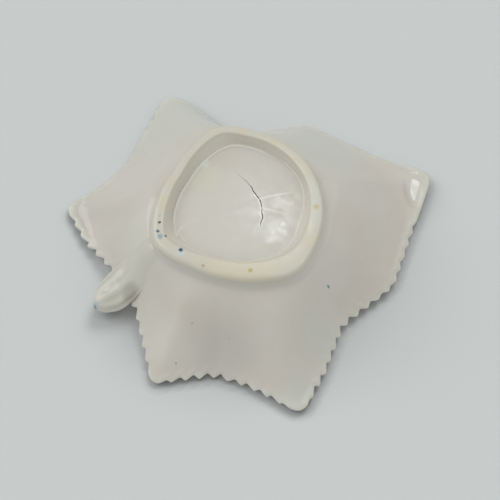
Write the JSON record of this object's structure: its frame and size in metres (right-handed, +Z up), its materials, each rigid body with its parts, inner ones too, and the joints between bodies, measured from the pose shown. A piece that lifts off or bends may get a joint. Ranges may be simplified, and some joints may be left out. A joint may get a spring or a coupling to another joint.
{
  "type": "pickle dish",
  "caption": "Small leaf-shaped glazed ceramic pickle dish with a toothed edge, an applied foot rim and a stalk for a handle.",
  "frame": {"origin": "on the table, under the middle of the dish's outline", "axes": "+Z up out of the bowl, +X along the midrib from the stalk to the leaf's tip; the dish stands on its foot rim, and the picture shows it turned over"},
  "size_m": [0.1146, 0.1156, 0.0313],
  "materials": {
    "leaf_glaze": "glossy off-white glaze",
    "foot_glaze": "glossy cream glaze, worn on the standing edge",
    "slip_glaze": "glossy off-white glaze, pooled in the corner",
    "stalk_glaze": "glossy off-white glaze with a trace of blue"
  },
  "bodies": {
    "root": {"leaf_body": "leaf_glaze", "foot_rim": "foot_glaze", "foot_slip_outer": "slip_glaze", "foot_slip_inner": "slip_glaze", "stalk_handle": "stalk_glaze"}
  },
  "joints": []
}
